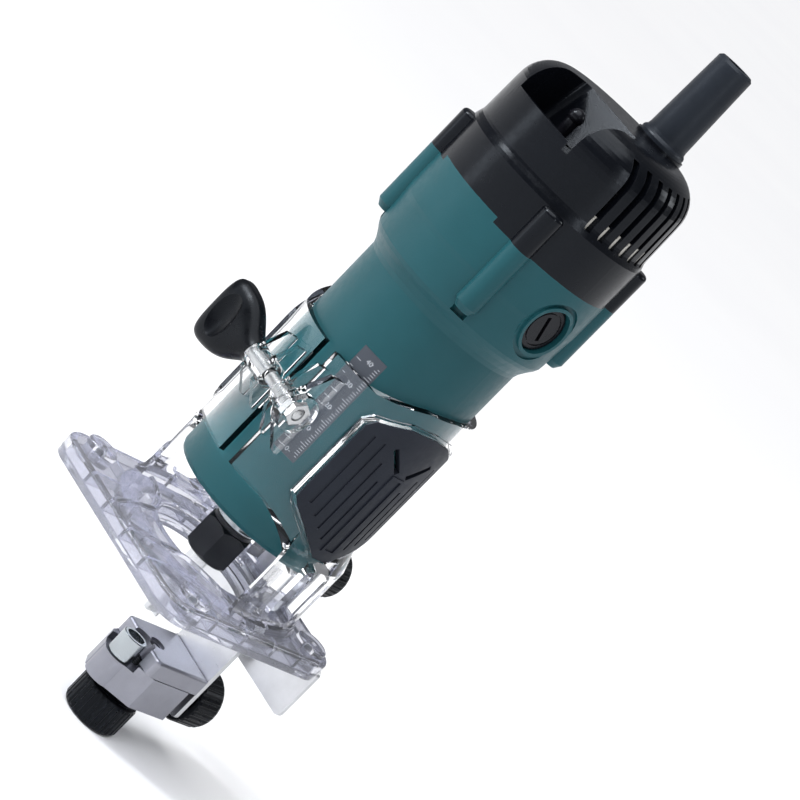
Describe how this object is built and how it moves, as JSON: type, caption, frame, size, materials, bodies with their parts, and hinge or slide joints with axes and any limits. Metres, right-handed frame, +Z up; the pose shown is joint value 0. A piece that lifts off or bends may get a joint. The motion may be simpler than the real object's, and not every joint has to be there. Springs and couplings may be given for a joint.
{
  "type": "laminate trimmer",
  "caption": "Palm-size electric laminate trimmer with a clear depth base, side thumb screw, collet nut and a clamp-on roller edge guide with knurled knobs.",
  "frame": {"origin": "on the tool axis, in the plane of the sole's underside with the base at the depth shown", "axes": "+Z up the tool axis towards the cord, -Y is the front with the clamp split and the switch, +X is to the right seen from the front"},
  "size_m": [0.09, 0.1068, 0.3186],
  "materials": {
    "teal_shell": "fine texture",
    "black_cover": "satin",
    "black_rubber": "matte",
    "grip_rubber": "matte",
    "clear_base": "clear polycarbonate",
    "clear_sole": "clear polycarbonate",
    "scale_foil": "printed foil",
    "knob_black": "satin",
    "switch_black": "gloss",
    "inner_plastic": "moulded",
    "fan_white": "moulded",
    "zinc_steel": "zinc plated",
    "ground_steel": "ground",
    "sheet_steel": "zinc plated sheet",
    "black_steel": "blackened",
    "cast_alloy": "die cast",
    "bearing_steel": "polished",
    "lamination": "lacquered stack",
    "copper_wire": "enamelled wire",
    "copper_bar": "turned",
    "brush_brass": "drawn",
    "carbon": "graphite",
    "cutter_steel": "ground"
  },
  "bodies": {
    "motor": {"motor_housing": "teal_shell", "scale_plate": "scale_foil", "top_cover": "black_cover", "housing_screws": "zinc_steel", "cord_guard": "black_rubber", "cord_clamp": "inner_plastic", "cord_clamp_screws": "zinc_steel", "switch_body": "inner_plastic", "switch_pin": "zinc_steel", "lower_bearing_outer_race": "bearing_steel", "upper_bearing_outer_race": "bearing_steel", "bearing_retainer": "zinc_steel", "retainer_screws": "zinc_steel", "bearing_bridge": "cast_alloy", "stator_core": "lamination", "field_coils": "copper_wire", "fan_baffle": "inner_plastic", "brush_holders": "brush_brass", "brush_springs": "zinc_steel", "carbon_brush_right": "carbon", "carbon_brush_left": "carbon", "brush_cap_right": "switch_black", "brush_cap_left": "switch_black"},
    "rotor": {"armature_shaft": "ground_steel", "armature_core": "lamination", "armature_windings": "copper_wire", "commutator": "copper_bar", "cooling_fan": "fan_white", "collet_cone": "ground_steel", "collet_nut": "black_steel", "router_bit": "cutter_steel", "lower_bearing_inner_race": "bearing_steel", "lower_bearing_balls": "bearing_steel", "upper_bearing_inner_race": "bearing_steel", "upper_bearing_balls": "bearing_steel"},
    "switch": {"switch_lever": "switch_black"},
    "base": {"base_body": "clear_base", "sole_plate": "clear_sole", "sole_screws": "zinc_steel", "grip_right": "grip_rubber", "grip_left": "grip_rubber", "clamp_nut": "zinc_steel", "guide_nut": "zinc_steel"},
    "clamp_screw": {"clamp_bolt": "zinc_steel", "clamp_knob": "knob_black"},
    "guide": {"guide_holder": "sheet_steel", "guide_arm": "sheet_steel", "guide_rivets": "zinc_steel", "guide_block": "cast_alloy", "guide_block_screws": "zinc_steel"},
    "screw_a": {"screw_a_knob": "knob_black", "screw_a_shank": "zinc_steel"},
    "carrier": {"roller_carrier": "cast_alloy", "roller_pin": "black_steel"},
    "roller": {"guide_roller": "ground_steel"},
    "adjuster": {"adjusting_knob": "knob_black", "adjusting_screw": "zinc_steel"},
    "screw_b": {"screw_b_knob": "knob_black", "screw_b_shank": "zinc_steel"}
  },
  "joints": [
    {"name": "spindle_spin", "type": "hinge", "parent": "motor", "child": "rotor", "pos_m": [0, 0, 0.1], "axis": [0, 0, 1], "continuous": true},
    {"name": "switch_toggle", "type": "hinge", "parent": "motor", "child": "switch", "pos_m": [0.001, -0.0215, 0.19], "axis": [0, 1, 0], "range_deg": [-14, 14]},
    {"name": "depth_slide", "type": "slide", "parent": "motor", "child": "base", "axis": [0, 0, 1], "range_m": [-0.02, 0.009]},
    {"name": "clamp_turn", "type": "hinge", "parent": "base", "child": "clamp_screw", "pos_m": [-0.02, -0.041, 0.0755], "axis": [1, 0, 0], "range_deg": [-540, 0]},
    {"name": "guide_height", "type": "slide", "parent": "base", "child": "guide", "axis": [0, 0, 1], "range_m": [-0.008, 0]},
    {"name": "screw_a_turn", "type": "hinge", "parent": "base", "child": "screw_a", "pos_m": [0, 0.045, 0.021], "axis": [0, 1, 0], "range_deg": [-360, 360]},
    {"name": "carrier_slide", "type": "slide", "parent": "guide", "child": "carrier", "axis": [0, 1, 0], "range_m": [-0.0031, 0.0031]},
    {"name": "adjuster_turn", "type": "hinge", "parent": "guide", "child": "adjuster", "pos_m": [0, 0.045, -0.046], "axis": [0, 1, 0], "range_deg": [-1070, 1070]},
    {"name": "roller_spin", "type": "hinge", "parent": "carrier", "child": "roller", "pos_m": [0, 0.0046, -0.0375], "axis": [0, 0, 1], "continuous": true},
    {"name": "screw_b_turn", "type": "hinge", "parent": "guide", "child": "screw_b", "pos_m": [0, 0.0159, -0.06], "axis": [0, 0, 1], "range_deg": [-360, 360]}
  ],
  "couplings": [
    {"joint": "carrier_slide", "follows": "adjuster_turn", "m_per_rad": -0.00012732}
  ]
}
